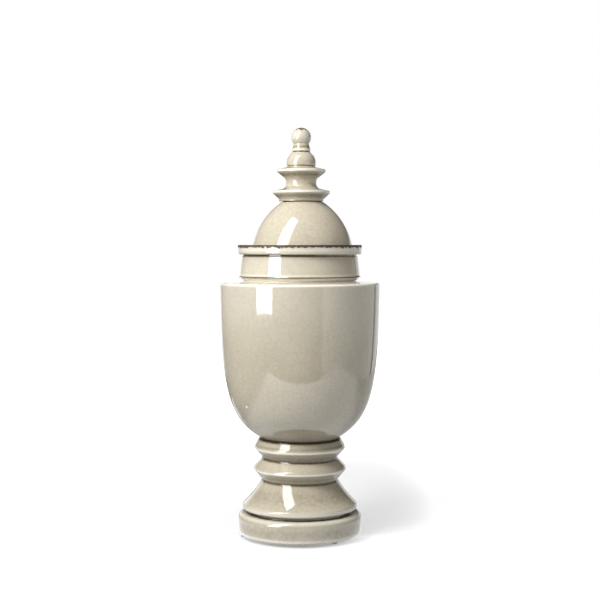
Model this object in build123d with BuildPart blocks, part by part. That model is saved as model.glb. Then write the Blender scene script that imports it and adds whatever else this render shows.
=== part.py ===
from build123d import *
import math
import os

# A lidded stoneware urn on a moulded pedestal, in millimetres.
# The origin is on the floor, on the axis of the bowl and the pedestal. +Z is up and the front faces -Y.
# Every casting is a turned form: an outline of radius and height, revolved about its axis.

# Foot pads: round dots stuck by hand under the foot disc, about a third of a turn apart. An inset is the
# distance from the edge of the disc's flat underside to the outer edge of the pad
PAD_DIAMETER = 10.0
PAD_THICKNESS = 3.0
PAD_EDGE_ROUND = 0.4
FRONT_PAD_ANGLE = -48.0
FRONT_PAD_INSET = 5.7
BACK_PAD_ANGLE = 66.0
BACK_PAD_INSET = 2.0
LEFT_PAD_ANGLE = 186.0
LEFT_PAD_INSET = -1.0

# Foot disc of the pedestal, and the groove above it
FOOT_RADIUS = 67.8
FOOT_HEIGHT = 24.4
FOOT_TOP_ROUND = 6.0
FOOT_BOTTOM_ROUND = 4.0
FOOT_RING_MARGIN = 1.0
FOOT_GROOVE_HEIGHT = 3.4
FOOT_GROOVE_RADIUS = 57.5

# Flare of the pedestal
FLARE_RADIUS = 62.9
FLARE_LIP_HEIGHT = 5.5
FLARE_LIP_ROUND = 2.0
FLARE_CORNER_ROUND = 3.0
FLARE_HEIGHT = 26.7
FLARE_TOP_RADIUS = 41.0
FLARE_CURVE = 110.0

# The two rings of the pedestal, each with a rounded nose between two slanted flanks
LOWER_RING_RADIUS = 52.2
LOWER_RING_RISE = 12.8
LOWER_RING_FALL = 11.5
UPPER_RING_RADIUS = 50.7
UPPER_RING_RISE = 11.9
UPPER_RING_FALL = 9.4
UPPER_RING_TOP_RADIUS = 44.9
RING_GROOVE_RADIUS = 39.8
RING_GROOVE_ROUND = 3.0
RING_NOSE_ROUND = 5.6
GROOVE_ROUND = 0.8

# Inside of the pedestal, and its spigot that centres the bowl
PEDESTAL_WALL = 6.2
PEDESTAL_TOP_PLATE = 8.0
SPIGOT_RADIUS = 30.0
SPIGOT_HEIGHT = 5.0
SPIGOT_CLEARANCE = 0.4

# Cement beds in the seams, set back from the surface so that each seam reads as a dark line
PEDESTAL_BED = 0.8
FINIAL_BED = 0.6
BED_SETBACK = 1.6

# Bowl: its curve leaves the shoulder almost straight down and sweeps in to a low foot
BOWL_RADIUS = 87.6
BOWL_FOOT_RADIUS = 44.3
BOWL_FOOT_HEIGHT = 0.8
BOWL_HEIGHT = 170.2
BOWL_WALL = 7.0
BOWL_FLOOR = 8.0
FLOOR_RADIUS = 48.0
SHOULDER_ROUND = 2.2
ROOF_ROUND = 6.0
FLOOR_ROUND = 10.0

# Shape of the bowl's curve, as shares of its own height and width
WALL_PULL = 0.724
WALL_LEAN = 0.033
BELLY_PULL_OUT = 0.776
BELLY_PULL_UP = 0.130

# Shoulder, which rises a little towards the neck, then a bead under the collar, the collar and the rim
SHOULDER_RISE = 2.2
NECK_RADIUS = 60.4
NECK_HEIGHT = 3.9
NECK_BEAD_RADIUS = 64.2
NECK_BEAD_RISE = 2.0
NECK_BEAD_ROUND = 2.4
COLLAR_LIP_RADIUS = 67.2
COLLAR_LIP_HEIGHT = 2.4
COLLAR_FOOT_RADIUS = 65.8
COLLAR_TOP_RADIUS = 63.5
COLLAR_HEIGHT = 23.0
RIM_GROOVE_RADIUS = 62.6
RIM_GROOVE_HEIGHT = 2.1
RIM_RADIUS = 68.0
RIM_HEIGHT = 10.2
RIM_LOWER_ROUND = 2.4
EDGE_ROUND = 0.8
LIP_ROUND = 0.5

# Mouth, with the ledge that carries the lid
MOUTH_RADIUS = 60.5
SEAT_DEPTH = 6.4
BORE_RADIUS = 52.5

# Lid: it lies loose on the ledge, a little to the right of the middle. Its dome is hollow except for
# a low share of its curve, which stays solid to carry the brim and the locating ring
LID_PLAY = 3.5
LID_SHIFT = 2.9
LID_BRIM_THICKNESS = 4.5
LOCATING_RING_DEPTH = 12.0
LOCATING_RING_WALL = 4.0
DOME_BASE_RADIUS = 54.8
DOME_HEIGHT = 48.8
DOME_CURVE = 75.7
DOME_WALL = 6.0
DOME_SOLID_SHARE = 0.12
CROWN_RADIUS = 22.9

# Finial, from its foot upwards: it was set on the dome by hand, a little to the left of the dome's axis
FINIAL_SHIFT = -1.3
FINIAL_SPIGOT_PLAY = 2.0
FINIAL_SPIGOT_RADIUS = 12.0
FINIAL_SPIGOT_LENGTH = 8.0
FINIAL_VENT_RADIUS = 5.0
FINIAL_VENT_LENGTH = 42.0
FINIAL_FOOT_RADIUS = 24.4
FINIAL_FOOT_HEIGHT = 2.4
FINIAL_FOOT_ROUND = 3.0
DISC_EDGE = 2.4
DISC_EDGE_ROUND = 1.1
LOWER_DISC_RADIUS = 31.5
LOWER_DISC_RISE = 6.7
LOWER_DISC_TOP_RISE = 3.4
FINIAL_WAIST_RADIUS = 16.6
FINIAL_WAIST_HEIGHT = 9.6
WAIST_LOWER_ROUND = 5.0
WAIST_UPPER_ROUND = 6.0
UPPER_DISC_RADIUS = 26.8
UPPER_DISC_RISE = 7.9
UPPER_DISC_TOP_RISE = 2.8
BULB_BASE_RADIUS = 15.3
BULB_BASE_HEIGHT = 1.8
BULB_RADIUS = 16.0
BULB_SIDE_HEIGHT = 8.0
BULB_SHOULDER_HEIGHT = 6.0
BULB_SHOULDER_ROUND = 12.0
BULB_TOP_RADIUS = 10.2
KNOB_GROOVE_RADIUS = 9.3
KNOB_GROOVE_HEIGHT = 0.6
KNOB_COLLAR_RADIUS = 10.1
KNOB_COLLAR_HEIGHT = 2.0
KNOB_NECK_RADIUS = 8.2
KNOB_NECK_HEIGHT = 7.0
KNOB_NECK_ROUND = 1.2
BALL_RADIUS = 10.7
FINE_ROUND = 0.3

# Two neighbouring roundings together take at most this share of the line between their corners
ROUND_SHARE = 0.96

# Heights above the floor, from the pads up to the rim
foot_z = PAD_THICKNESS
foot_top_z = foot_z + FOOT_HEIGHT
flare_z = foot_top_z + FOOT_GROOVE_HEIGHT
flare_corner_z = flare_z + FLARE_LIP_HEIGHT
flare_top_z = flare_corner_z + FLARE_HEIGHT
lower_nose_z = flare_top_z + LOWER_RING_RISE
ring_groove_z = lower_nose_z + LOWER_RING_FALL
upper_nose_z = ring_groove_z + UPPER_RING_RISE
pedestal_top_z = upper_nose_z + UPPER_RING_FALL
bowl_z = pedestal_top_z + PEDESTAL_BED
shoulder_z = bowl_z + BOWL_HEIGHT
neck_z = shoulder_z + SHOULDER_RISE
collar_z = neck_z + NECK_HEIGHT
collar_top_z = collar_z + COLLAR_HEIGHT
rim_z = collar_top_z + RIM_GROOVE_HEIGHT
rim_top_z = rim_z + RIM_HEIGHT

# Heights of the lid at rest on its ledge, and of the finial on the dome
seat_z = rim_top_z - SEAT_DEPTH
brim_top_z = seat_z + LID_BRIM_THICKNESS
crown_z = brim_top_z + DOME_HEIGHT
finial_z = crown_z + FINIAL_BED

# Axes of the lid and of the finial, each with the upright plane that its outline is drawn on
lid_axis = Axis((LID_SHIFT, 0, 0), (0, 0, 1))
lid_plane = Plane(lid_axis.position, x_dir=(1, 0, 0), z_dir=(0, -1, 0))
finial_axis = Axis((LID_SHIFT + FINIAL_SHIFT, 0, 0), (0, 0, 1))
finial_plane = Plane(finial_axis.position, x_dir=(1, 0, 0), z_dir=(0, -1, 0))


def turned_line(corners):
    """Draw an outline through (radius, height, rounding) corners; the two ends have no rounding."""
    points = [Vector(radius, height) for radius, height, _ in corners]
    legs = [after - before for before, after in zip(points, points[1:])]
    reaches = [0]
    for leg, next_leg, corner in zip(legs, legs[1:], corners[1:]):
        reaches.append(corner[2] * math.tan(math.radians(leg.get_angle(next_leg)) / 2))
    reaches.append(0)
    shares = []
    for leg, reach, next_reach in zip(legs, reaches, reaches[1:]):
        wanted = reach + next_reach
        shares.append(min(1, ROUND_SHARE * leg.length / wanted) if wanted else 1)
    roundings = [corner[2] * min(pair) for corner, pair in zip(corners[1:], zip(shares, shares[1:]))]
    return FilletPolyline(*points, radius=roundings)


def bowl_curve(top, bottom):
    """Draw the curve of the bowl's wall from its top point to its bottom point, each (radius, height)."""
    width = top[0] - bottom[0]
    height = top[1] - bottom[1]
    wall_handle = (top[0] - WALL_LEAN * width, top[1] - WALL_PULL * height)
    belly_handle = (bottom[0] + BELLY_PULL_OUT * width, bottom[1] + BELLY_PULL_UP * height)
    return Bezier(top, wall_handle, belly_handle, bottom)


def corner_at(sketch, radius, height):
    """Choose the corner of a sketched outline that lies at a radius and a height."""
    return sketch.vertices().sort_by_distance((radius, height, 0))[0]


def inset_point(edge, share, depth):
    """Give the point that lies a depth to the inner side of a dome edge, at a share of its length."""
    along = edge % share
    return edge @ share + Vector(-along.Y, along.X) * depth


# Places of the foot pads: each an angle and an inset
pad_places = {
    "front": (FRONT_PAD_ANGLE, FRONT_PAD_INSET),
    "back": (BACK_PAD_ANGLE, BACK_PAD_INSET),
    "left": (LEFT_PAD_ANGLE, LEFT_PAD_INSET),
}
deepest_inset = max(inset for _, inset in pad_places.values())

# Pedestal: rings, flare and foot disc, hollow and open beneath, with a spigot on top. The ring that the
# foot disc stands on is wide enough for every pad
foot_flat_radius = FOOT_RADIUS - FOOT_BOTTOM_ROUND
foot_hollow_radius = foot_flat_radius - deepest_inset - PAD_DIAMETER - FOOT_RING_MARGIN
flare_hollow_radius = min(foot_hollow_radius, FOOT_GROOVE_RADIUS - PEDESTAL_WALL)
stem_hollow_radius = RING_GROOVE_RADIUS - PEDESTAL_WALL
plate_z = pedestal_top_z - PEDESTAL_TOP_PLATE

with BuildPart() as pedestal:
    with BuildSketch(Plane.XZ) as pedestal_section:
        with BuildLine():
            turned_line([
                (0, pedestal_top_z + SPIGOT_HEIGHT, 0),
                (SPIGOT_RADIUS, pedestal_top_z + SPIGOT_HEIGHT, EDGE_ROUND),
                (SPIGOT_RADIUS, pedestal_top_z, SPIGOT_CLEARANCE),
                (UPPER_RING_TOP_RADIUS, pedestal_top_z, EDGE_ROUND),
                (UPPER_RING_RADIUS, upper_nose_z, RING_NOSE_ROUND),
                (RING_GROOVE_RADIUS, ring_groove_z, RING_GROOVE_ROUND),
                (LOWER_RING_RADIUS, lower_nose_z, RING_NOSE_ROUND),
                (FLARE_TOP_RADIUS, flare_top_z, 0),
            ])
            RadiusArc((FLARE_TOP_RADIUS, flare_top_z), (FLARE_RADIUS, flare_corner_z), -FLARE_CURVE)
            turned_line([
                (FLARE_RADIUS, flare_corner_z, 0),
                (FLARE_RADIUS, flare_z, FLARE_LIP_ROUND),
                (FOOT_GROOVE_RADIUS, flare_z, GROOVE_ROUND),
                (FOOT_GROOVE_RADIUS, foot_top_z, GROOVE_ROUND),
                (FOOT_RADIUS, foot_top_z, FOOT_TOP_ROUND),
                (FOOT_RADIUS, foot_z, FOOT_BOTTOM_ROUND),
                (foot_hollow_radius, foot_z, FOOT_RING_MARGIN),
                (flare_hollow_radius, foot_top_z, FOOT_TOP_ROUND),
                (stem_hollow_radius, flare_top_z, FOOT_TOP_ROUND),
                (stem_hollow_radius, plate_z, FOOT_TOP_ROUND),
                (0, plate_z, 0),
            ])
            Line((0, plate_z), (0, pedestal_top_z + SPIGOT_HEIGHT))
        make_face()
        fillet(corner_at(pedestal_section, FLARE_TOP_RADIUS, flare_top_z), GROOVE_ROUND)
        fillet(corner_at(pedestal_section, FLARE_RADIUS, flare_corner_z), FLARE_CORNER_ROUND)
    revolve(axis=Axis.Z)

# Cement bed between the pedestal and the bowl, round the spigot
with BuildPart() as pedestal_cement:
    with BuildSketch(Plane.XY.offset(pedestal_top_z)):
        Circle(BOWL_FOOT_RADIUS - BED_SETBACK)
        Circle(SPIGOT_RADIUS + SPIGOT_CLEARANCE, mode=Mode.SUBTRACT)
    extrude(amount=PEDESTAL_BED)

# Bowl: foot with its socket, wall, shoulder, neck bead, collar and rim, one casting
socket_radius = SPIGOT_RADIUS + SPIGOT_CLEARANCE
socket_z = pedestal_top_z + SPIGOT_HEIGHT + SPIGOT_CLEARANCE
floor_z = socket_z + BOWL_FLOOR
roof_z = shoulder_z - BOWL_WALL
bowl_side_z = bowl_z + BOWL_FOOT_HEIGHT
hollow_radius = BOWL_RADIUS - BOWL_WALL

with BuildPart() as bowl:
    with BuildSketch(Plane.XZ) as bowl_section:
        with BuildLine():
            turned_line([
                (0, socket_z, 0),
                (socket_radius, socket_z, EDGE_ROUND),
                (socket_radius, bowl_z, EDGE_ROUND),
                (BOWL_FOOT_RADIUS, bowl_z, LIP_ROUND),
                (BOWL_FOOT_RADIUS, bowl_side_z, 0),
            ])
            bowl_curve((BOWL_RADIUS, shoulder_z), (BOWL_FOOT_RADIUS, bowl_side_z))
            turned_line([
                (BOWL_RADIUS, shoulder_z, 0),
                (NECK_RADIUS, neck_z, EDGE_ROUND),
                (NECK_BEAD_RADIUS, neck_z + NECK_BEAD_RISE, NECK_BEAD_ROUND),
                (NECK_BEAD_RADIUS, collar_z, LIP_ROUND),
                (COLLAR_LIP_RADIUS, collar_z, LIP_ROUND),
                (COLLAR_FOOT_RADIUS, collar_z + COLLAR_LIP_HEIGHT, COLLAR_LIP_HEIGHT),
                (COLLAR_TOP_RADIUS, collar_top_z, LIP_ROUND),
                (RIM_GROOVE_RADIUS, collar_top_z, LIP_ROUND),
                (RIM_GROOVE_RADIUS, rim_z, LIP_ROUND),
                (RIM_RADIUS, rim_z, RIM_LOWER_ROUND),
                (RIM_RADIUS, rim_top_z, EDGE_ROUND),
                (MOUTH_RADIUS, rim_top_z, EDGE_ROUND),
                (MOUTH_RADIUS, seat_z, EDGE_ROUND),
                (BORE_RADIUS, seat_z, EDGE_ROUND),
                (BORE_RADIUS, roof_z, SHOULDER_ROUND),
                (hollow_radius, roof_z, 0),
            ])
            bowl_curve((hollow_radius, roof_z), (FLOOR_RADIUS, floor_z))
            Polyline((FLOOR_RADIUS, floor_z), (0, floor_z), (0, socket_z))
        make_face()
        fillet(corner_at(bowl_section, BOWL_RADIUS, shoulder_z), SHOULDER_ROUND)
        fillet(corner_at(bowl_section, hollow_radius, roof_z), ROOF_ROUND)
        fillet(corner_at(bowl_section, FLOOR_RADIUS, floor_z), FLOOR_ROUND)
    revolve(axis=Axis.Z)

# Lid: dome with a brim on the ledge, a locating ring in the bore and a hole in its crown
brim_radius = MOUTH_RADIUS - LID_PLAY
ring_radius = BORE_RADIUS - LID_PLAY
ring_hollow_radius = ring_radius - LOCATING_RING_WALL
ring_z = seat_z - LOCATING_RING_DEPTH
crown_hole_radius = FINIAL_SPIGOT_RADIUS + FINIAL_SPIGOT_PLAY

with BuildPart() as lid:
    with BuildSketch(lid_plane) as lid_section:
        with BuildLine():
            dome = RadiusArc((DOME_BASE_RADIUS, brim_top_z), (CROWN_RADIUS, crown_z), -DOME_CURVE)
            hollow_points = [inset_point(dome, share, DOME_WALL) for share in (DOME_SOLID_SHARE, 0.5, 1)]
            hollow = ThreePointArc(hollow_points)
            turned_line([
                (CROWN_RADIUS, crown_z, 0),
                (crown_hole_radius, crown_z, LIP_ROUND),
                (crown_hole_radius, (hollow @ 1).Y, LIP_ROUND),
                ((hollow @ 1).X, (hollow @ 1).Y, 0),
            ])
            turned_line([
                ((hollow @ 0).X, (hollow @ 0).Y, 0),
                (ring_hollow_radius, seat_z, LOCATING_RING_WALL),
                (ring_hollow_radius, ring_z, EDGE_ROUND),
                (ring_radius, ring_z, EDGE_ROUND),
                (ring_radius, seat_z, EDGE_ROUND),
                (brim_radius, seat_z, EDGE_ROUND),
                (brim_radius, brim_top_z, EDGE_ROUND),
                (DOME_BASE_RADIUS, brim_top_z, 0),
            ])
        make_face()
    revolve(axis=lid_axis)

# Cement bed between the dome and the finial, round the finial's spigot
with BuildPart() as finial_cement:
    with BuildSketch(Plane(lid_axis.position).offset(crown_z)):
        Circle(CROWN_RADIUS - BED_SETBACK)
        Circle(crown_hole_radius, mode=Mode.SUBTRACT)
    extrude(amount=FINIAL_BED)

# Finial: two discs, a bulb and a ball, with a vented spigot through the crown of the dome
lower_edge_z = finial_z + FINIAL_FOOT_HEIGHT + LOWER_DISC_RISE
waist_z = lower_edge_z + DISC_EDGE + LOWER_DISC_TOP_RISE
cove_z = waist_z + FINIAL_WAIST_HEIGHT
upper_edge_z = cove_z + UPPER_DISC_RISE
bulb_base_z = upper_edge_z + DISC_EDGE + UPPER_DISC_TOP_RISE
bulb_z = bulb_base_z + BULB_BASE_HEIGHT
bulb_shoulder_z = bulb_z + BULB_SIDE_HEIGHT
bulb_top_z = bulb_shoulder_z + BULB_SHOULDER_HEIGHT
knob_groove_z = bulb_top_z + KNOB_GROOVE_HEIGHT
knob_collar_z = knob_groove_z + KNOB_COLLAR_HEIGHT
knob_neck_z = knob_collar_z + KNOB_NECK_HEIGHT
ball_dip = math.degrees(math.acos(KNOB_NECK_RADIUS / BALL_RADIUS))
ball_z = knob_neck_z + BALL_RADIUS * math.sin(math.radians(ball_dip))
spigot_z = finial_z - FINIAL_SPIGOT_LENGTH
vent_z = spigot_z + FINIAL_VENT_LENGTH

with BuildPart() as finial:
    with BuildSketch(finial_plane) as finial_section:
        with BuildLine():
            turned_line([
                (FINIAL_VENT_RADIUS, spigot_z, 0),
                (FINIAL_SPIGOT_RADIUS, spigot_z, EDGE_ROUND),
                (FINIAL_SPIGOT_RADIUS, finial_z, SPIGOT_CLEARANCE),
                (FINIAL_FOOT_RADIUS, finial_z, LIP_ROUND),
                (FINIAL_FOOT_RADIUS, finial_z + FINIAL_FOOT_HEIGHT, FINIAL_FOOT_ROUND),
                (LOWER_DISC_RADIUS, lower_edge_z, DISC_EDGE_ROUND),
                (LOWER_DISC_RADIUS, lower_edge_z + DISC_EDGE, DISC_EDGE_ROUND),
                (FINIAL_WAIST_RADIUS, waist_z, WAIST_LOWER_ROUND),
                (FINIAL_WAIST_RADIUS, cove_z, WAIST_UPPER_ROUND),
                (UPPER_DISC_RADIUS, upper_edge_z, DISC_EDGE_ROUND),
                (UPPER_DISC_RADIUS, upper_edge_z + DISC_EDGE, DISC_EDGE_ROUND),
                (BULB_BASE_RADIUS, bulb_base_z, LIP_ROUND),
                (BULB_BASE_RADIUS, bulb_z, FINE_ROUND),
                (BULB_RADIUS, bulb_z, FINE_ROUND),
                (BULB_RADIUS, bulb_shoulder_z, BULB_SHOULDER_ROUND),
                (BULB_TOP_RADIUS, bulb_top_z, FINE_ROUND),
                (KNOB_GROOVE_RADIUS, knob_groove_z, FINE_ROUND),
                (KNOB_COLLAR_RADIUS, knob_collar_z, FINE_ROUND),
                (KNOB_NECK_RADIUS, knob_neck_z, 0),
            ])
            CenterArc((0, ball_z), BALL_RADIUS, -ball_dip, 90 + ball_dip)
            Polyline((0, ball_z + BALL_RADIUS), (0, vent_z), (FINIAL_VENT_RADIUS, vent_z))
            Line((FINIAL_VENT_RADIUS, vent_z), (FINIAL_VENT_RADIUS, spigot_z))
        make_face()
        fillet(corner_at(finial_section, KNOB_NECK_RADIUS, knob_neck_z), KNOB_NECK_ROUND)
    revolve(axis=finial_axis)

os.makedirs("parts", exist_ok=True)

castings = {
    "pedestal": pedestal,
    "pedestal_cement": pedestal_cement,
    "bowl": bowl,
    "lid": lid,
    "finial_cement": finial_cement,
    "finial": finial,
}
for name, casting in castings.items():
    casting.part.label = name
    export_step(casting.part, f"parts/{name}.step")

# Foot pads, each its own round dot at its own angle and inset
for place, (angle, inset) in pad_places.items():
    pad_reach = foot_flat_radius - inset - PAD_DIAMETER / 2
    pad_centre = (pad_reach * math.cos(math.radians(angle)), pad_reach * math.sin(math.radians(angle)))
    with BuildPart() as foot_pad:
        with BuildSketch(Plane.XY):
            with Locations(pad_centre):
                Circle(PAD_DIAMETER / 2)
        extrude(amount=PAD_THICKNESS)
        fillet(foot_pad.faces().sort_by(Axis.Z)[0].edges(), PAD_EDGE_ROUND)
    foot_pad.part.label = f"foot_pad_{place}"
    export_step(foot_pad.part, f"parts/foot_pad_{place}.step")

print(f"overall height {ball_z + BALL_RADIUS:.2f} mm, widest {2 * BOWL_RADIUS:.1f} mm")
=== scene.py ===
# %% [markdown]
# # A lidded urn in crackle glaze
#
# The urn is a set of turned stoneware castings: a deep bowl on a ringed pedestal, and a loose domed lid with
# a finial cemented to its crown. One glossy grey-beige glaze covers them. It breaks pale on every raised
# edge, it pools brown in every groove, and a fine net of cracks runs through it. The imported CAD model gives
# the sizes and the moving bodies, so this file loads it first and compares each turned piece's box with it.

# %% Load the frame
import math

import bmesh
import bpy
from mathutils import Matrix, Vector
from mathutils.geometry import interpolate_bezier


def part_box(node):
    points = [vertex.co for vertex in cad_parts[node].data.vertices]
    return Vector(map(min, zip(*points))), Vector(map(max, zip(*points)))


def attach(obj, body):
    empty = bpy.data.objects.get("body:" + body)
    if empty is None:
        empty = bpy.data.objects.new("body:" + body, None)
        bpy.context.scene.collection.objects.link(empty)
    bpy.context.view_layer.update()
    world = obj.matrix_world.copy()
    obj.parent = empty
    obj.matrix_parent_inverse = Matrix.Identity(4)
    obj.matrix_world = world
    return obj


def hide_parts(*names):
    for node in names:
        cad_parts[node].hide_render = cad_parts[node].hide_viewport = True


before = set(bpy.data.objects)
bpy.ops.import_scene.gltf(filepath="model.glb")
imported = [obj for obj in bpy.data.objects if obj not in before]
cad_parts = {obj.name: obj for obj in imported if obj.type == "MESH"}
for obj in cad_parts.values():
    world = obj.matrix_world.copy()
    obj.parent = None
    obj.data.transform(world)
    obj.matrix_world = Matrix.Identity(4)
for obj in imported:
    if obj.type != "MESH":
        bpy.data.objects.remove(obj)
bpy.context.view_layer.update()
scene = bpy.context.scene
scene.view_settings.view_transform = "Standard"

# %% [markdown]
# ## The camera
#
# A long lens, about 1.4 m away and level with the rim, gives the flat product view: the shoulder shows as
# a thin strip and the foot as a shallow curve. The camera looks down a little, so the urn sits in the
# middle of the frame. A long lens was chosen over a near, wide one because a wide one would bow the rings.

# %% Camera
CAMERA_PLACE = (0.0002, -1.396, 0.3215)
CAMERA_DIP = 2.502
LENS = 76.2
SENSOR_WIDTH = 36.0

camera_data = bpy.data.cameras.new("studio_camera")
camera_data.lens = LENS
camera_data.sensor_width = SENSOR_WIDTH
camera = bpy.data.objects.new("studio_camera", camera_data)
camera.location = CAMERA_PLACE
camera.rotation_euler = (math.radians(90 - CAMERA_DIP), 0, 0)
scene.collection.objects.link(camera)
scene.camera = camera
print("camera", CAMERA_PLACE, "dips", CAMERA_DIP, "degrees")

# %% [markdown]
# ## Drawing a section
#
# A turned casting is known by its half section: radius across, height up. It could be modelled by stacking
# cylinders, but the joins between them would show in a gloss this sharp. So the section is drawn once as a
# chain of edges, in millimetres, and spun about the axis. Four ways of drawing are enough. A straight leg is
# an edge, an arc is the last vertex spun about the arc's centre, a free curve leaves and arrives along two
# handles, and a rounded corner is a vertex bevel, whose reach along each leg is the rounding times the
# tangent of half the turn.

# %% A section drawn in radius and height
MM = 0.001
ROUND_STEPS = 7


class Section:
    """The half section of a turned casting: a chain of edges in the plane of radius and height."""

    def __init__(self, radius, height):
        self.mesh = bmesh.new()
        self.pen = self.mesh.verts.new((radius * MM, 0, height * MM))
        self.first = self.pen
        self.roundings = {}

    def step(self, radius, height, rounding=0):
        """Draw one straight leg to a corner."""
        corner = self.mesh.verts.new((radius * MM, 0, height * MM))
        self.mesh.edges.new((self.pen, corner))
        self.pen = corner
        if rounding:
            self.roundings[corner] = rounding * MM

    def line(self, *corners):
        """Draw straight legs through (radius, height) or (radius, height, rounding) corners."""
        for corner in corners:
            self.step(*corner)

    def arc(self, radius, height, bend, steps, rounding=0):
        """Swing to a point on an arc; its centre is on the left, or on the right if the bend is negative."""
        start = self.pen.co.copy()
        leg = Vector((radius * MM, 0, height * MM)) - start
        left = Vector((-leg.z, 0, leg.x)).normalized() * math.copysign(1, bend)
        half = leg.length / 2
        bend_length = abs(bend) * MM
        centre = start + leg / 2 + left * math.sqrt(bend_length ** 2 - half ** 2)
        sweep = 2 * math.asin(half / bend_length) * math.copysign(1, bend)
        swung = bmesh.ops.spin(
            self.mesh, geom=[self.pen], cent=centre, axis=(0, -1, 0), angle=sweep, steps=steps,
        )
        self.pen = swung["geom_last"][0]
        if rounding:
            self.roundings[self.pen] = rounding * MM

    def curve(self, first_handle, last_handle, end, steps, rounding=0):
        """Draw a free curve that leaves towards one handle and arrives from the other."""
        points = (first_handle, last_handle, end)
        knots = [Vector((radius * MM, 0, height * MM)) for radius, height in points]
        for point in interpolate_bezier(self.pen.co, *knots, steps + 1)[1:]:
            self.step(point.x / MM, point.z / MM)
        if rounding:
            self.roundings[self.pen] = rounding * MM

    def close(self):
        """Join the last corner to the first."""
        self.mesh.edges.new((self.pen, self.first))

    def round_corners(self):
        """Bevel each rounded corner by its own reach."""
        reaches = {}
        for corner, rounding in self.roundings.items():
            one, other = [(edge.other_vert(corner).co - corner.co) for edge in corner.link_edges]
            bend_angle = math.pi - one.angle(other)
            reaches[corner] = rounding * math.tan(bend_angle / 2)
        for corner, reach in reaches.items():
            bmesh.ops.bevel(
                self.mesh, geom=[corner], offset=reach, offset_type="OFFSET", segments=ROUND_STEPS,
                profile=0.5, affect="VERTICES", clamp_overlap=True, material=-1,
            )


print("roundings have", ROUND_STEPS, "steps")

# %% [markdown]
# ## Where the glaze thins, pools and leaves the clay bare, and where light and shade are painted
#
# A dipped glaze runs while it melts. It draws back from sharp edges and shows pale there, and it gathers in
# grooves and shows brown. Where it was wiped off, the fired clay is dark and its border is ragged. These
# could be painted by height in the material, but two edges at one height would then share their paint. So
# each mark is a point of the section with a width, and every vertex carries how near it lies to the nearest
# mark of each kind. The marks also paint light and shade: many pale marks on edges hold a painted
# highlight as well as thin glaze, and some pool marks under rims, on downward flanks and under the foot
# are painted shade.

# %% Glaze marks on a section
MARK_KINDS = ("pale", "pool", "bare")


def mark_glaze(section, marks):
    """Write the strength of each (kind, radius, height, width, strength) mark onto the vertices."""
    layers = {kind: section.mesh.verts.layers.float.new(kind) for kind in MARK_KINDS}
    for vertex in section.mesh.verts:
        for kind, radius, height, width, strength in marks:
            gap = (vertex.co - Vector((radius * MM, 0, height * MM))).length / (width * MM)
            vertex[layers[kind]] = max(vertex[layers[kind]], strength * math.exp(-gap * gap))


print("glaze marks:", ", ".join(MARK_KINDS))

# %% [markdown]
# ## Turning a section into a piece
#
# Long legs are divided first, for two reasons: the marks need vertices to live on, and a flat leg keeps
# its own shading right up to the rounded corner beside it. Then one full spin makes the wall. The vertices
# on the axis fall together and are merged, and only then are the normals made to point outwards.

# %% Turning
LEG_STEP = 2.0
TURN_STEPS = 208
MERGE_GAP = 1e-6


def turn(section, name, node, body, axis_x=0.0, marks=()):
    """Spin a section into a smooth piece that stands for a CAD node, and return the piece."""
    mesh = section.mesh
    section.round_corners()
    for edge in mesh.edges[:]:
        cuts = int(edge.calc_length() / (LEG_STEP * MM))
        if cuts:
            bmesh.ops.subdivide_edges(mesh, edges=[edge], cuts=cuts)
    mark_glaze(section, marks)
    bmesh.ops.translate(mesh, verts=mesh.verts[:], vec=(axis_x * MM, 0, 0))
    bmesh.ops.spin(
        mesh, geom=mesh.verts[:] + mesh.edges[:], cent=(axis_x * MM, 0, 0), axis=(0, 0, 1),
        angle=2 * math.pi, steps=TURN_STEPS, use_merge=True,
    )
    bmesh.ops.remove_doubles(mesh, verts=mesh.verts[:], dist=MERGE_GAP)
    bmesh.ops.recalc_face_normals(mesh, faces=mesh.faces[:])
    for face in mesh.faces:
        face.smooth = True
    open_edges = sum(1 for edge in mesh.edges if len(edge.link_faces) != 2)
    data = bpy.data.meshes.new(name)
    mesh.to_mesh(data)
    mesh.free()
    piece = bpy.data.objects.new(name, data)
    scene.collection.objects.link(piece)
    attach(piece, body)
    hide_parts(node)
    low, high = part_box(node)
    ends = ((piece.bound_box[0], low), (piece.bound_box[6], high))
    off = max(abs(corner[axis] - edge[axis]) for corner, edge in ends for axis in range(3))
    faces = len(data.polygons)
    print(f"{name}: {faces} faces, {open_edges} open edges, box within {off / MM:.2f} mm of the CAD")
    return piece


print("a full turn has", TURN_STEPS, "steps")

# %% [markdown]
# ## The pedestal
#
# The pedestal is one casting. Two rings, each with a blunt nose and a sharp lower edge, stand over a concave
# flare, a deep groove parts the flare from the foot disc, and it is hollow and open beneath. A short spigot
# on top centres the bowl. Its section runs from the spigot down the outside and back up the inside.

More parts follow.
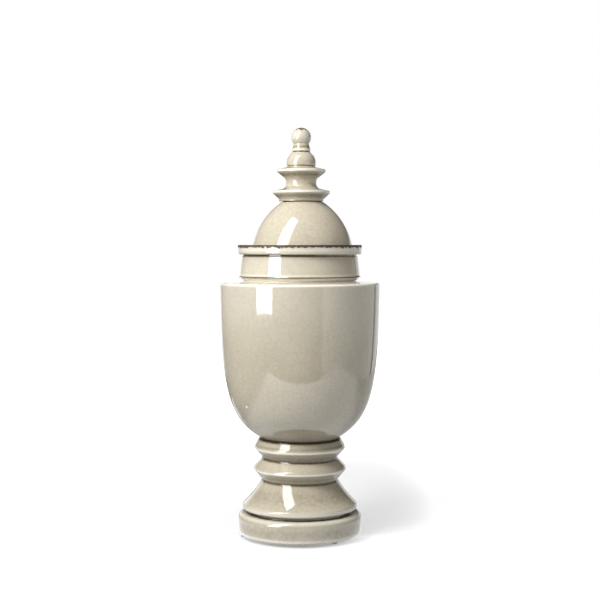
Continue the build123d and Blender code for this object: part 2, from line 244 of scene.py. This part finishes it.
# %% Pedestal
section = Section(0, 113.6)
section.line(
    (30.0, 113.6, 0.8), (30.0, 108.6, 0.4), (44.9, 108.6, 0.8), (49.4, 100.4, 4.0), (49.7, 97.4, 1.0),
    (40.5, 87.3, 3.0), (50.4, 77.0, 4.0), (50.8, 74.2, 1.0), (41.6, 63.0, 0.8),
)
section.arc(62.9, 36.3, bend=110.0, steps=16, rounding=3.0)
section.line(
    (62.9, 30.8, 2.0), (57.5, 30.8, 0.8), (57.5, 27.4, 0.8), (67.8, 27.4, 6.0), (67.8, 3.0, 4.0),
    (47.1, 3.0, 1.0), (47.1, 27.4, 6.0), (33.6, 63.0, 6.0), (33.6, 100.6, 6.0), (0, 100.6),
)
PEDESTAL_MARKS = [
    ("pool", 44.6, 108.6, 2.0, 0.95),
    ("pool", 41.0, 87.3, 2.4, 0.85),
    # painted shade on the downward flank of the upper ring
    ("pool", 43.5, 91.8, 3.2, 0.3),
    ("pool", 41.3, 62.9, 2.2, 0.75),
    # painted shade on the downward flank of the lower ring
    ("pool", 45.5, 68.0, 3.4, 0.3),
    ("pool", 57.5, 29.1, 3.6, 0.85),
    ("pool", 48.4, 101.6, 2.0, 0.34),
    ("pool", 48.2, 77.9, 2.0, 0.24),
    # thin glaze and a painted highlight along the sharp lower edges of the ring noses
    ("pale", 49.5, 97.4, 1.3, 1.5),
    ("pale", 50.6, 74.2, 1.3, 1.5),
    # thin glaze and a painted highlight on the flare's lip
    ("pale", 62.9, 34.4, 2.2, 0.6),
    # these two broad marks darken the whole flare and the whole foot
    ("pool", 52.0, 50.0, 16.0, 0.26),
    ("pool", 67.8, 14.0, 9.0, 0.27),
    # thin glaze and a painted highlight on the foot's upper edge
    ("pale", 65.8, 25.8, 2.2, 0.45),
    # thin glaze and a painted reflection of the white table on the foot's bottom edge
    ("pale", 67.6, 6.3, 1.3, 1.2),
    # painted shade on the downward-facing rounding under the foot's edge
    ("pool", 65.4, 3.4, 1.3, 0.7),
]
pedestal = turn(section, "glazed_pedestal", "pedestal", "urn", marks=PEDESTAL_MARKS)

# %% [markdown]
# ## The bowl
#
# The bowl's wall drops almost straight from a low shoulder and sweeps in to a small foot. Above the
# shoulder stand a short neck with a bead, a plain collar and a banded rim, and inside the rim a ledge
# carries the lid. The two free curves, outside and inside, use the same kind of handles, so the wall keeps
# about the same thickness.

# %% Bowl
section = Section(0, 114.0)
section.line((30.4, 114.0, 0.8), (30.4, 109.4, 0.8), (44.3, 109.4, 0.5), (44.3, 110.2))
section.curve((77.9, 132.22), (86.17, 156.95), (87.6, 279.6), steps=56, rounding=2.2)
section.line(
    (60.4, 281.8, 0.8), (64.2, 283.8, 2.4), (64.2, 285.7, 0.5), (67.2, 285.7, 0.5), (65.8, 288.1, 2.4),
    (63.5, 308.7, 0.5), (62.6, 308.7, 0.5), (62.6, 310.8, 0.5), (68.0, 310.8, 2.4), (68.0, 321.0, 0.8),
    (60.5, 321.0, 0.8), (60.5, 314.6, 0.8), (52.5, 314.6, 0.8), (52.5, 272.6, 2.2), (80.6, 272.6, 6.0),
)
section.curve((79.52, 163.57), (73.3, 141.58), (48.0, 122.0), steps=24, rounding=10.0)
section.line((0, 122.0))
BOWL_MARKS = [
    ("pool", 44.3, 109.4, 1.4, 1.0),
    # brown glaze and painted shade under the collar's lip
    ("pool", 66.9, 286.3, 1.0, 0.7),
    # brown glaze and a painted shadow cast by the rim
    ("pool", 63.0, 309.6, 1.5, 0.7),
    # thin glaze and a painted highlight on the shoulder's edge
    ("pale", 86.7, 279.2, 2.2, 1.0),
    # painted light: lightens the shaded recess under the collar, in place of the lit shoulder it mirrors
    ("pale", 63.6, 283.2, 3.2, 1.15),
    # thin glaze and a painted highlight on the collar's lip
    ("pale", 66.0, 288.8, 1.2, 0.5),
    # thin glaze and painted light on the rim band
    ("pale", 67.3, 311.6, 1.8, 0.7),
    ("pale", 68.0, 315.5, 3.0, 0.6),
    # these two broad marks lighten the whole collar and the upper bowl
    ("pale", 64.6, 298.0, 14.0, 0.2),
    ("pale", 87.4, 270.0, 45.0, 0.2),
    ("bare", 61.0, 321.0, 2.6, 1.0),
    ("bare", 64.5, 321.0, 2.6, 1.0),
    ("bare", 68.0, 320.5, 2.45, 1.0),
]
bowl = turn(section, "glazed_bowl", "bowl", "urn", marks=BOWL_MARKS)

# %% [markdown]
# ## The lid
#
# The lid is a hollow dome on a narrow brim, with a locating ring below and a hole in its crown for the
# finial's spigot. It lies loose on the ledge, a little to the right of the bowl's axis, so its own axis is
# given.

# %% Lid
LID_AXIS_X = 2.9
section = Section(54.8, 319.1)
section.arc(22.9, 367.9, bend=75.7, steps=40)
section.line((14.0, 367.9, 0.5), (14.0, 362.94, 0.5), (19.53, 362.94))
section.arc(47.39, 324.44, bend=-69.7, steps=24)
section.line(
    (45.0, 314.6, 4.0), (45.0, 302.6, 0.8), (49.0, 302.6, 0.8), (49.0, 314.6, 0.8), (57.0, 314.6, 0.8),
    (57.0, 319.1, 0.8),
)
section.close()
LID_MARKS = [
    ("pool", 22.9, 367.9, 1.1, 0.2),
    ("pool", 54.8, 319.1, 1.5, 0.6),
    ("pale", 56.8, 318.8, 1.0, 0.7),
    ("bare", 47.0, 302.6, 3.0, 1.0),
]
lid = turn(section, "glazed_lid", "lid", "lid", LID_AXIS_X, LID_MARKS)

# %% [markdown]
# ## The finial
#
# The finial stacks two thin discs, a bulb and a ball on one vented spigot. It was set on the dome by hand, a
# little off its axis. Every corner of it is small, so this is where the glaze breaks palest and pools
# darkest.

# %% Finial
FINIAL_AXIS_X = 1.6
section = Section(0, 402.5)
section.line(
    (5.0, 402.5), (5.0, 360.5), (12.0, 360.5, 0.8), (12.0, 368.5, 0.4), (24.4, 368.5, 0.5),
    (24.4, 370.9, 3.0), (31.5, 377.6, 1.1), (31.5, 380.0, 1.1), (16.6, 383.4, 5.0), (16.6, 393.0, 6.0),
    (26.8, 400.9, 1.1), (26.8, 403.3, 1.1), (15.3, 406.1, 0.5), (15.3, 407.9, 0.3), (16.0, 407.9, 0.3),
    (16.0, 415.9, 12.0), (10.2, 421.9, 0.3), (9.3, 422.5, 0.3), (10.1, 424.5, 0.3), (8.2, 431.5, 1.2),
)
section.arc(0, 449.07, bend=10.7, steps=32)
FINIAL_MARKS = [
    ("pool", 24.4, 368.7, 1.4, 0.35),
    # painted shade in the cove under the lower disc
    ("pool", 28.0, 374.3, 3.0, 0.35),
    ("pool", 17.5, 383.6, 2.0, 0.25),
    # painted shade in the cove under the upper disc
    ("pool", 22.0, 397.2, 3.4, 0.38),
    ("pool", 15.2, 407.2, 1.1, 0.5),
    ("pool", 9.3, 422.5, 0.8, 0.7),
    ("pool", 8.8, 428.3, 1.1, 0.66),
    ("pale", 31.5, 378.6, 1.3, 1.1),
    ("pale", 26.8, 401.9, 1.3, 1.1),
    ("pale", 10.1, 424.5, 1.0, 1.0),
    ("pale", 10.7, 438.4, 6.0, 0.3),
    ("bare", 0, 449.07, 7.4, 0.95),
]
finial = turn(section, "glazed_finial", "finial", "lid", FINIAL_AXIS_X, FINIAL_MARKS)

# %% [markdown]
# ## Node helpers
#
# Each finish below is a handful of texture and shader nodes. One helper adds a node, sets its properties and
# fills its inputs, whether with a plain value or with another node's output. The others give plain names to
# the nodes that come back most, so that a material reads from top to bottom.

# %% Adding a node
def add_node(tree, kind, inputs=None, **settings):
    """Add a node, set its properties, and give its inputs values or other nodes' outputs."""
    node = tree.nodes.new(kind)
    for name, value in settings.items():
        setattr(node, name, value)
    for socket, value in (inputs or {}).items():
        if isinstance(value, bpy.types.NodeSocket):
            tree.links.new(value, node.inputs[socket])
        else:
            node.inputs[socket].default_value = value
    return node


def empty_material(name):
    """Make a material with no nodes and return it with its tree."""
    material = bpy.data.materials.new(name)
    material.use_nodes = True
    material.node_tree.nodes.clear()
    return material, material.node_tree


def add_noise(tree, place, scale, detail, roughness=0.5):
    """Add a noise pattern and return its outputs."""
    inputs = {"Vector": place, "Scale": scale, "Detail": detail, "Roughness": roughness}
    return add_node(tree, "ShaderNodeTexNoise", inputs).outputs


def blend_colour(tree, share, one, other):
    """Blend two colours by a share from 0 to 1 and return the result's socket."""
    blend = add_node(tree, "ShaderNodeMix", {0: share, 6: one, 7: other}, data_type="RGBA")
    return blend.outputs[2]


def blend_value(tree, share, one, other):
    """Blend two values by a share from 0 to 1 and return the result's socket."""
    return add_node(tree, "ShaderNodeMix", {0: share, 2: one, 3: other}).outputs[0]


def fit_range(tree, value, low, high, to_low=0.0, to_high=1.0):
    """Stretch a value from one range to another, clamped and smoothed at both ends."""
    fitted = add_node(
        tree, "ShaderNodeMapRange",
        {"Value": value, "From Min": low, "From Max": high, "To Min": to_low, "To Max": to_high},
        interpolation_type="SMOOTHSTEP",
    )
    return fitted.outputs[0]


def calculate(tree, operation, one, other):
    """Work out one sum on two values and return the result's socket."""
    return add_node(tree, "ShaderNodeMath", {0: one, 1: other}, operation=operation).outputs[0]


def calculate_vector(tree, operation, *vectors):
    """Work out one sum on one or two vectors and return the node's outputs."""
    inputs = dict(enumerate(vectors))
    return add_node(tree, "ShaderNodeVectorMath", inputs, operation=operation).outputs


print("node helpers ready")

# %% [markdown]
# ## The cracks in the glaze
#
# Glaze shrinks more than clay as it cools, so it crazes into a net of fine cracks. The net could be drawn by
# hand, but it has thousands of lines. It comes from the distance to the edges of scattered cells instead, at
# two sizes, because real crazing has long first cracks and short later ones. A little noise bends the cells,
# since no crack is straight.

# %% Cracks
CRACK_CELLS = 150.0
CRACK_WIDTH = 0.09
FINE_CRACK_CELLS = 310.0
FINE_CRACK_WIDTH = 0.12
FINE_CRACK_SHARE = 0.6
WANDER_SCALE = 90.0
WANDER_DETAIL = 2.0
WANDER_SHARE = 0.012


def crack_net(tree, place, cells, width):
    """Draw a net of cracks: 1 along the edges of the cells, fading to 0 over the width."""
    inputs = {"Vector": place, "Scale": cells}
    cell = add_node(tree, "ShaderNodeTexVoronoi", inputs, feature="DISTANCE_TO_EDGE")
    return fit_range(tree, cell.outputs["Distance"], 0.0, width, 1.0, 0.0)


glaze, tree = empty_material("crackle_glaze")
place = add_node(tree, "ShaderNodeTexCoord").outputs["Object"]
wander = add_noise(tree, place, WANDER_SCALE, WANDER_DETAIL)["Color"]
bent = add_node(tree, "ShaderNodeMix", {0: WANDER_SHARE, 4: place, 5: wander}, data_type="VECTOR").outputs[1]
long_cracks = crack_net(tree, bent, CRACK_CELLS, CRACK_WIDTH)
fine_cracks = crack_net(tree, bent, FINE_CRACK_CELLS, FINE_CRACK_WIDTH)
fine_cracks = calculate(tree, "MULTIPLY", fine_cracks, FINE_CRACK_SHARE)
crack = calculate(tree, "MAXIMUM", long_cracks, fine_cracks)
print("crack cells per metre:", CRACK_CELLS, "and", FINE_CRACK_CELLS)

# %% [markdown]
# ## The colours of the glaze
#
# The body colour drifts softly between two greys. The cracks and the marks on the pieces are then laid over
# it in the order in which they hide each other: cracks, pale marks of thin glaze and painted highlight,
# olive and brown pools that in places are painted shade, bare clay. A pool or a patch of bare clay has a
# ragged border, so fine noise shakes its strength before it is cut off.
# One white pin spot, low on the left of the bowl, is a painted glint: the highlight on a small fault in the
# glaze.

# %% Glaze colours
GLAZE_LIGHT = (0.538, 0.484, 0.376, 1)
GLAZE_DEEP = (0.5, 0.448, 0.346, 1)
PALE_GLAZE_AND_HIGHLIGHT = (0.9, 0.86, 0.77, 1)
GLAZE_OLIVE_AND_SHADE = (0.2, 0.16, 0.095, 1)
GLAZE_BROWN_AND_SHADE = (0.045, 0.027, 0.014, 1)
CLAY_BROWN = (0.05, 0.032, 0.02, 1)
GLINT_WHITE = (0.95, 0.93, 0.88, 1)
GLINT_PLACE = (-0.05655, -0.04989, 0.14866)
GLINT_FADE = (0.0006, 0.0024)
DRIFT_SCALE = 22.0
DRIFT_DETAIL = 5.0
DRIFT_ROUGHNESS = 0.6
DRIFT_FADE = (0.3, 0.7)
RAGGED_SCALE = 260.0
RAGGED_DETAIL = 3.0
NOISE_MIDDLE = 0.5
POOL_SHAKE = 0.25
BARE_SHAKE = 1.6
BARE_FADE = (0.38, 0.56)
CRACK_SHARE = 0.2
PALE_SHARE = 0.85
OLIVE_FADE = (0.08, 0.55)
BROWN_FADE = (0.4, 0.95)

drift = add_noise(tree, place, DRIFT_SCALE, DRIFT_DETAIL, DRIFT_ROUGHNESS)[0]
ragged = add_noise(tree, place, RAGGED_SCALE, RAGGED_DETAIL)[0]
shake = calculate(tree, "SUBTRACT", ragged, NOISE_MIDDLE)
marks = {}
for kind in MARK_KINDS:
    marks[kind] = add_node(tree, "ShaderNodeAttribute", attribute_name=kind).outputs["Fac"]
pool = calculate(tree, "ADD", marks["pool"], calculate(tree, "MULTIPLY", shake, POOL_SHAKE))
bare = calculate(tree, "ADD", marks["bare"], calculate(tree, "MULTIPLY", shake, BARE_SHAKE))
bare_share = fit_range(tree, bare, *BARE_FADE)
glint = calculate_vector(tree, "DISTANCE", place, GLINT_PLACE)["Value"]

colour = blend_colour(tree, fit_range(tree, drift, *DRIFT_FADE), GLAZE_DEEP, GLAZE_LIGHT)
colour = blend_colour(tree, calculate(tree, "MULTIPLY", crack, CRACK_SHARE), colour, GLAZE_OLIVE_AND_SHADE)
# pale marks: thin glaze, and in places a painted highlight or painted light
colour = blend_colour(tree, calculate(tree, "MULTIPLY", marks["pale"], PALE_SHARE), colour, PALE_GLAZE_AND_HIGHLIGHT)
# pool marks: brown glaze, and in places painted shade
colour = blend_colour(tree, fit_range(tree, pool, *OLIVE_FADE), colour, GLAZE_OLIVE_AND_SHADE)
colour = blend_colour(tree, fit_range(tree, pool, *BROWN_FADE), colour, GLAZE_BROWN_AND_SHADE)
colour = blend_colour(tree, bare_share, colour, CLAY_BROWN)
# painted glint: a small white spot low on the left of the bowl
colour = blend_colour(tree, fit_range(tree, glint, *GLINT_FADE, 1.0, 0.0), colour, GLINT_WHITE)
print("glaze colour nodes:", len(tree.nodes))

# %% [markdown]
# ## The surface of the glaze
#
# Fired glaze is glass over clay, so it is smooth and mirrors the studio. Bare clay is rough. A slow bump
# bends the reflections as a poured surface does, and the cracks dip into it by a hair.

# %% Glaze surface
GLAZE_IOR = 1.6
GLAZE_ROUGHNESS = 0.05
CLAY_ROUGHNESS = 0.7
WAVE_SCALE = 35.0
WAVE_DETAIL = 1.0
WAVE_DEPTH = 0.0006
WAVE_STRENGTH = 0.25
CRACK_DIP = 0.02

wave = add_noise(tree, place, WAVE_SCALE, WAVE_DETAIL)[0]
height = calculate(tree, "SUBTRACT", wave, calculate(tree, "MULTIPLY", crack, CRACK_DIP))
bump = add_node(
    tree, "ShaderNodeBump", {"Strength": WAVE_STRENGTH, "Distance": WAVE_DEPTH, "Height": height},
)
roughness = fit_range(tree, bare_share, 0.0, 1.0, GLAZE_ROUGHNESS, CLAY_ROUGHNESS)
body = add_node(
    tree, "ShaderNodeBsdfPrincipled",
    {"Base Color": colour, "Roughness": roughness, "IOR": GLAZE_IOR, "Normal": bump.outputs[0]},
)
add_node(tree, "ShaderNodeOutputMaterial", {"Surface": body.outputs[0]})

for piece in (pedestal, bowl, lid, finial):
    piece.data.materials.append(glaze)
print("glaze nodes:", len(tree.nodes))

# %% [markdown]
# ## Cement and pads
#
# The cement beds show only as dark lines in two seams, and the pads as dark bars under the foot. Their CAD
# shapes are already right, so the nodes stay and only get a finish: a grainy matt cement and a matt rubber.

# %% Cement and pads
CEMENT_DARK = (0.03, 0.018, 0.011, 1)
CEMENT_LIGHT = (0.07, 0.045, 0.028, 1)
CEMENT_GRAIN = 900.0
CEMENT_ROUGHNESS = 0.9
RUBBER_DARK = (0.012, 0.012, 0.012, 1)
RUBBER_LIGHT = (0.03, 0.03, 0.03, 1)
RUBBER_GRAIN = 1200.0
RUBBER_ROUGHNESS = 0.75
GRAIN_DETAIL = 4.0
GRAIN_FADE = (0.3, 0.7)
GRAIN_DEPTH = 0.0002
GRAIN_STRENGTH = 0.4


def grainy_material(name, dark, light, grain, roughness):
    """Make a matt material whose colour and surface vary in fine grains."""
    material, tree = empty_material(name)
    place = add_node(tree, "ShaderNodeTexCoord").outputs["Object"]
    grains = add_noise(tree, place, grain, GRAIN_DETAIL)[0]
    colour = blend_colour(tree, fit_range(tree, grains, *GRAIN_FADE), dark, light)
    bump = add_node(
        tree, "ShaderNodeBump", {"Strength": GRAIN_STRENGTH, "Distance": GRAIN_DEPTH, "Height": grains},
    )
    surface = add_node(
        tree, "ShaderNodeBsdfPrincipled",
        {"Base Color": colour, "Roughness": roughness, "Normal": bump.outputs[0]},
    )
    add_node(tree, "ShaderNodeOutputMaterial", {"Surface": surface.outputs[0]})
    return material


cement = grainy_material("bedding_cement", CEMENT_DARK, CEMENT_LIGHT, CEMENT_GRAIN, CEMENT_ROUGHNESS)
rubber = grainy_material("pad_rubber", RUBBER_DARK, RUBBER_LIGHT, RUBBER_GRAIN, RUBBER_ROUGHNESS)
FINISHES = {
    "pedestal_cement": cement, "finial_cement": cement,
    "foot_pad_front": rubber, "foot_pad_back": rubber, "foot_pad_left": rubber,
}
for node, finish in FINISHES.items():
    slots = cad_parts[node].data.materials
    slots.clear()
    slots.append(finish)
print("finished CAD nodes:", ", ".join(sorted(FINISHES)))

# %% [markdown]
# ## The table
#
# The urn stands on a white table. A floor without end would do for the camera, but the bowl's belly mirrors
# the table's edges, so it is cut to size. It is one flat grid, scaled and moved into place.

# %% Table
TABLE_LEFT = -0.5
TABLE_RIGHT = 0.7
TABLE_FRONT = -0.49
TABLE_BACK = 6.0

mesh = bmesh.new()
bmesh.ops.create_grid(mesh, x_segments=1, y_segments=1, size=0.5)
bmesh.ops.scale(mesh, verts=mesh.verts[:], vec=(TABLE_RIGHT - TABLE_LEFT, TABLE_BACK - TABLE_FRONT, 1))
bmesh.ops.translate(
    mesh, verts=mesh.verts[:], vec=((TABLE_LEFT + TABLE_RIGHT) / 2, (TABLE_FRONT + TABLE_BACK) / 2, 0),
)
data = bpy.data.meshes.new("table")
mesh.to_mesh(data)
mesh.free()
table = bpy.data.objects.new("table", data)
scene.collection.objects.link(table)
print("table from", (TABLE_LEFT, TABLE_FRONT), "to", (TABLE_RIGHT, TABLE_BACK), "m")

# %% [markdown]
# ## The glow of the table
#
# A table lit to pure white would lose the shadow. So the lamps light it as they light the urn, and a glow
# lifts it to white for the camera. The glow is weakest in a long ellipse behind the urn, where the shadow
# falls, so part of that shadow is painted. It is full at the front and far away, and gone under the foot,
# which paints the shade there. Near the urn it has a cap, because a table brighter than white would eat
# into the edges of the urn.

# %% Glow for the camera
GLOW_SHADE = 0.52
GLOW_OPEN = 1.25
GLOW_FAR = 1.0
FAR_REACH = (0.35, 0.85)
FRONT_FADE = (0.03, -0.07)
LEFT_FADE = (0.06, -0.06)
SHADE_MIDDLE = (0.059, 0.335, 0.0)
SHADE_REACH = (0.22, 1.038, 1.0)
SHADE_CORE = 0.148
CAP_SHADE = 0.76
CAP_CLOSE = 0.48
CAP_WIDE = 0.8
CAP_REACH = (0.12, 0.4)
UNDER_FOOT = (0.047, 0.064)

paper, tree = empty_material("white_table")
rays = add_node(tree, "ShaderNodeLightPath").outputs
place = add_node(tree, "ShaderNodeTexCoord").outputs["Object"]
away = calculate_vector(tree, "LENGTH", place)["Value"]
ground = add_node(tree, "ShaderNodeSeparateXYZ", {0: place}).outputs
offset = calculate_vector(tree, "SUBTRACT", place, SHADE_MIDDLE)[0]
offset = calculate_vector(tree, "DIVIDE", offset, SHADE_REACH)[0]
beside = calculate_vector(tree, "LENGTH", offset)["Value"]

front = fit_range(tree, ground["Y"], *FRONT_FADE)
# painted shadow: the glow drops in the ellipse behind the urn
full = calculate(tree, "MAXIMUM", fit_range(tree, beside, SHADE_CORE, 1.0), front)
near = fit_range(tree, full, 0.0, 1.0, GLOW_SHADE, GLOW_OPEN)
clear = calculate(tree, "MAXIMUM", fit_range(tree, ground["X"], *LEFT_FADE), front)
cap = blend_value(tree, clear, CAP_SHADE, fit_range(tree, away, *CAP_REACH, CAP_CLOSE, CAP_WIDE))
near = calculate(tree, "MINIMUM", near, cap)
glow = blend_value(tree, fit_range(tree, away, *FAR_REACH), near, GLOW_FAR)
# painted shade: no glow where the table lies under the foot
glow = calculate(tree, "MULTIPLY", glow, fit_range(tree, away, *UNDER_FOOT))
camera_glow = calculate(tree, "MULTIPLY", glow, rays["Is Camera Ray"])
print("glow from", GLOW_SHADE, "in the shadow to", GLOW_FAR, "far away")

# %% [markdown]
# ## What the glaze mirrors of the table
#
# The table in front of the urn is bright in the belly of the bowl, the table behind it is dim along the
# edges of the foot, and towards the left it fades aslant into the room. The camera's glow has none of
# this, so mirror rays get a glow of their own. The paint is lighter for the camera than for the light that
# bounces back up.

# %% Glow for mirror rays and the paint
GLOW_FRONT = 1.6
GLOW_BEHIND = 0.5
BEHIND_FADE = (0.16, -0.06)
FADE_SLANT = 0.5
FADE_ENDS = (-0.34, -0.2)
TABLE_WHITE = (0.46, 0.46, 0.46, 1)
TABLE_BOUNCE = (0.3, 0.3, 0.3, 1)
PLAIN_WHITE = (1, 1, 1, 1)

aslant = calculate(tree, "SUBTRACT", ground["X"], calculate(tree, "MULTIPLY", ground["Y"], FADE_SLANT))
mirrored = calculate(tree, "MAXIMUM", rays["Is Glossy Ray"], rays["Is Transmission Ray"])
mirrored = calculate(tree, "MULTIPLY", mirrored, fit_range(tree, aslant, *FADE_ENDS))
image = blend_value(tree, fit_range(tree, ground["Y"], *BEHIND_FADE), GLOW_BEHIND, GLOW_FRONT)
glow = calculate(tree, "ADD", camera_glow, calculate(tree, "MULTIPLY", mirrored, image))
paint = blend_colour(tree, rays["Is Camera Ray"], TABLE_BOUNCE, TABLE_WHITE)
lit = add_node(tree, "ShaderNodeBsdfDiffuse", {"Color": paint})
lift = add_node(tree, "ShaderNodeEmission", {"Color": PLAIN_WHITE, "Strength": glow})
both = add_node(tree, "ShaderNodeAddShader", {0: lit.outputs[0], 1: lift.outputs[0]})
add_node(tree, "ShaderNodeOutputMaterial", {"Surface": both.outputs[0]})
table.data.materials.append(paper)
print("table nodes:", len(tree.nodes))

# %% [markdown]
# ## Panels of light
#
# What the glaze mirrors and what lights the matt body under it are set apart, so that each can be placed and
# measured by itself. A panel is the first kind: a flat lamp that only mirror rays see. A lamp shines along
# its own -Z, so its axes are built from the directions of its two sides.

# %% Hanging a panel
def hang_panel(name, middle, across, along, width, length, watts):
    """Hang a panel that only mirror rays see; across and along are the directions of its two sides."""
    lamp = bpy.data.lights.new(name, "AREA")
    lamp.shape = "RECTANGLE"
    lamp.size = width
    lamp.size_y = length
    lamp.energy = watts
    panel = bpy.data.objects.new(name, lamp)
    axes = Matrix((across, along, across.cross(along))).transposed()
    panel.matrix_world = Matrix.Translation(middle) @ axes.to_4x4()
    panel.visible_camera = False
    panel.visible_diffuse = False
    scene.collection.objects.link(panel)
    print(name, "at", [round(value, 3) for value in middle], "size", width, "by", round(length, 3), "m")


print("panels are seen by mirror rays only")

# %% [markdown]
# ## The softbox
#
# One tall softbox stands at the front left, with its foot low over the table, and leans over the urn. Its
# mirror image is the white strip on the dome, the collar, the shoulder and the flare, so the middles of
# its lower and upper edges were found by following the view from the camera off the glaze at the ends of
# those strips. Because it leans, its lower edge slants. A low skirt across its foot makes the strip end
# level.

# %% Softbox
SOFTBOX_LOW = Vector((-0.92, -0.77, 0.149))
SOFTBOX_HIGH = Vector((-0.44, -0.56, 2.1))
SOFTBOX_WIDTH = 0.5
SOFTBOX_WATTS = 32.0
SKIRT_MIDDLE = Vector((-0.92, -0.77, 0.16))
SKIRT_HEIGHT = 0.06
AIM = Vector((0, 0, 0.25))

middle = (SOFTBOX_LOW + SOFTBOX_HIGH) / 2
length = (SOFTBOX_HIGH - SOFTBOX_LOW).length
along = (SOFTBOX_HIGH - SOFTBOX_LOW).normalized()
across = along.cross(middle - AIM).normalized()
hang_panel("softbox", middle, across, along, SOFTBOX_WIDTH, length, SOFTBOX_WATTS)

level = Vector((across.x, across.y, 0)).normalized()
upright = Vector((0, 0, 1))
skirt_watts = SOFTBOX_WATTS * SKIRT_HEIGHT / length
hang_panel("softbox_skirt", SKIRT_MIDDLE, level, upright, SOFTBOX_WIDTH, SKIRT_HEIGHT, skirt_watts)

# %% [markdown]
# ## The lamps
#
# Four square lamps light the matt body: a strong one at the left, a near one high on the left, a wide one
# overhead and a weak one at the front. Mirror rays don't see them, because the glaze shows one softbox.

# %% Lamps
LAMPS = {
    "left_lamp": ((-0.75, -0.7, 1.0), 0.5, 14.2),
    "high_lamp": ((-0.3, -0.45, 0.85), 0.4, 2.8),
    "overhead_lamp": ((0.0, -0.1, 1.6), 0.8, 3.0),
    "front_lamp": ((0.1, -1.4, 0.5), 0.8, 1.0),
}
for name, (place, width, watts) in LAMPS.items():
    lamp = bpy.data.lights.new(name, "AREA")
    lamp.shape = "SQUARE"
    lamp.size = width
    lamp.energy = watts
    lamp_object = bpy.data.objects.new(name, lamp)
    lamp_object.location = place
    lamp_object.rotation_euler = (Vector(place) - AIM).to_track_quat("Z", "Y").to_euler()
    lamp_object.visible_camera = False
    lamp_object.visible_glossy = False
    scene.collection.objects.link(lamp_object)
print("lamps:", ", ".join(LAMPS))

# %% [markdown]
# ## The low card
#
# A low white card stands behind the urn on the left, and the camera doesn't see it. Its mirror image is the
# pale strip down the left edge of the flare. It faces the camera, so its sides run across the picture and
# down.

# %% Low card
LOW_CARD_MIDDLE = Vector((-0.15, 0.17, 0.0725))
LOW_CARD_WIDTH = 0.07
LOW_CARD_HEIGHT = 0.065
LOW_CARD_BRIGHTNESS = 0.9

rightwards = Vector((1, 0, 0))
downwards = Vector((0, 0, -1))
card_watts = LOW_CARD_BRIGHTNESS * math.pi * LOW_CARD_WIDTH * LOW_CARD_HEIGHT
hang_panel(
    "low_card", LOW_CARD_MIDDLE, rightwards, downwards, LOW_CARD_WIDTH, LOW_CARD_HEIGHT, card_watts,
)

# %% [markdown]
# ## The studio
#
# The glaze mirrors the studio as well. Behind the urn is the white backdrop. On its right stands a low
# white card that turns the glaze there grey, and the dark gap between the two draws a thin line down that
# edge of the bowl. The room is dim on the left and dark in front. So the world has three answers: white
# for the camera, an even fill for the matt body under the glaze, and for mirror rays a level that depends
# on the bearing, counted from straight behind the urn.

# %% Bands of the studio
EDGE_SOFTNESS = 2.0


def bearing_band(tree, bearing, limits):
    """Give 1 between two bearings in degrees and 0 outside them, with soft edges."""
    low, high = limits
    ends = [math.radians(value) for value in (low - EDGE_SOFTNESS, low + EDGE_SOFTNESS)]
    rise = fit_range(tree, bearing, *ends)
    ends = [math.radians(value) for value in (high - EDGE_SOFTNESS, high + EDGE_SOFTNESS)]
    return calculate(tree, "MULTIPLY", rise, fit_range(tree, bearing, *ends, 1.0, 0.0))


def below(tree, rise, top):
    """Give 1 below an elevation in degrees and 0 above it, with a soft edge."""
    ends = [math.sin(math.radians(top + slack)) for slack in (-EDGE_SOFTNESS, EDGE_SOFTNESS)]
    return fit_range(tree, rise, *ends, 1.0, 0.0)


print("bands have edges", 2 * EDGE_SOFTNESS, "degrees wide")

# %% [markdown]
# ## The world
#
# The bands are now added up and sorted by the kind of ray. Light Path tells the kinds apart, so the white
# that the camera sees adds no light to the urn.

# %% World
FILL = 0.4
FILL_COLOUR = (0.97, 0.99, 1.0, 1)
BACKDROP = (-23.0, 39.0)
BACKDROP_TOP = 8.0
CARD = (45.0, 147.0)
CARD_TOP = 4.0
LEFT_ROOM = (-116.0, -23.0)
LEFT_ROOM_LEVEL = 0.2
FRONT_LEVEL = 0.05

world = bpy.data.worlds.new("studio")
scene.world = world
world.use_nodes = True
tree = world.node_tree
tree.nodes.clear()
rays = add_node(tree, "ShaderNodeLightPath").outputs
way = add_node(tree, "ShaderNodeTexCoord").outputs["Generated"]
parts = add_node(tree, "ShaderNodeSeparateXYZ", {0: way}).outputs
bearing = calculate(tree, "ARCTAN2", parts["X"], parts["Y"])
card = bearing_band(tree, bearing, CARD)
card = calculate(tree, "MULTIPLY", card, below(tree, parts["Z"], CARD_TOP))
backdrop = bearing_band(tree, bearing, BACKDROP)
backdrop = calculate(tree, "MULTIPLY", backdrop, below(tree, parts["Z"], BACKDROP_TOP))
room = calculate(tree, "MULTIPLY", bearing_band(tree, bearing, LEFT_ROOM), LEFT_ROOM_LEVEL)
mirrored = calculate(tree, "ADD", backdrop, calculate(tree, "ADD", card, room))
mirrored = calculate(tree, "ADD", mirrored, FRONT_LEVEL)
mirror_ray = calculate(tree, "MAXIMUM", rays["Is Glossy Ray"], rays["Is Transmission Ray"])
level = blend_value(tree, mirror_ray, FILL, mirrored)
level = blend_value(tree, rays["Is Camera Ray"], level, 1.0)
plain_ray = calculate(tree, "MAXIMUM", mirror_ray, rays["Is Camera Ray"])
tint = blend_colour(tree, plain_ray, FILL_COLOUR, PLAIN_WHITE)
sky = add_node(tree, "ShaderNodeBackground", {"Color": tint, "Strength": level})
add_node(tree, "ShaderNodeOutputWorld", {"Surface": sky.outputs[0]})
print("studio fill", FILL, "backdrop", BACKDROP, "card", CARD)
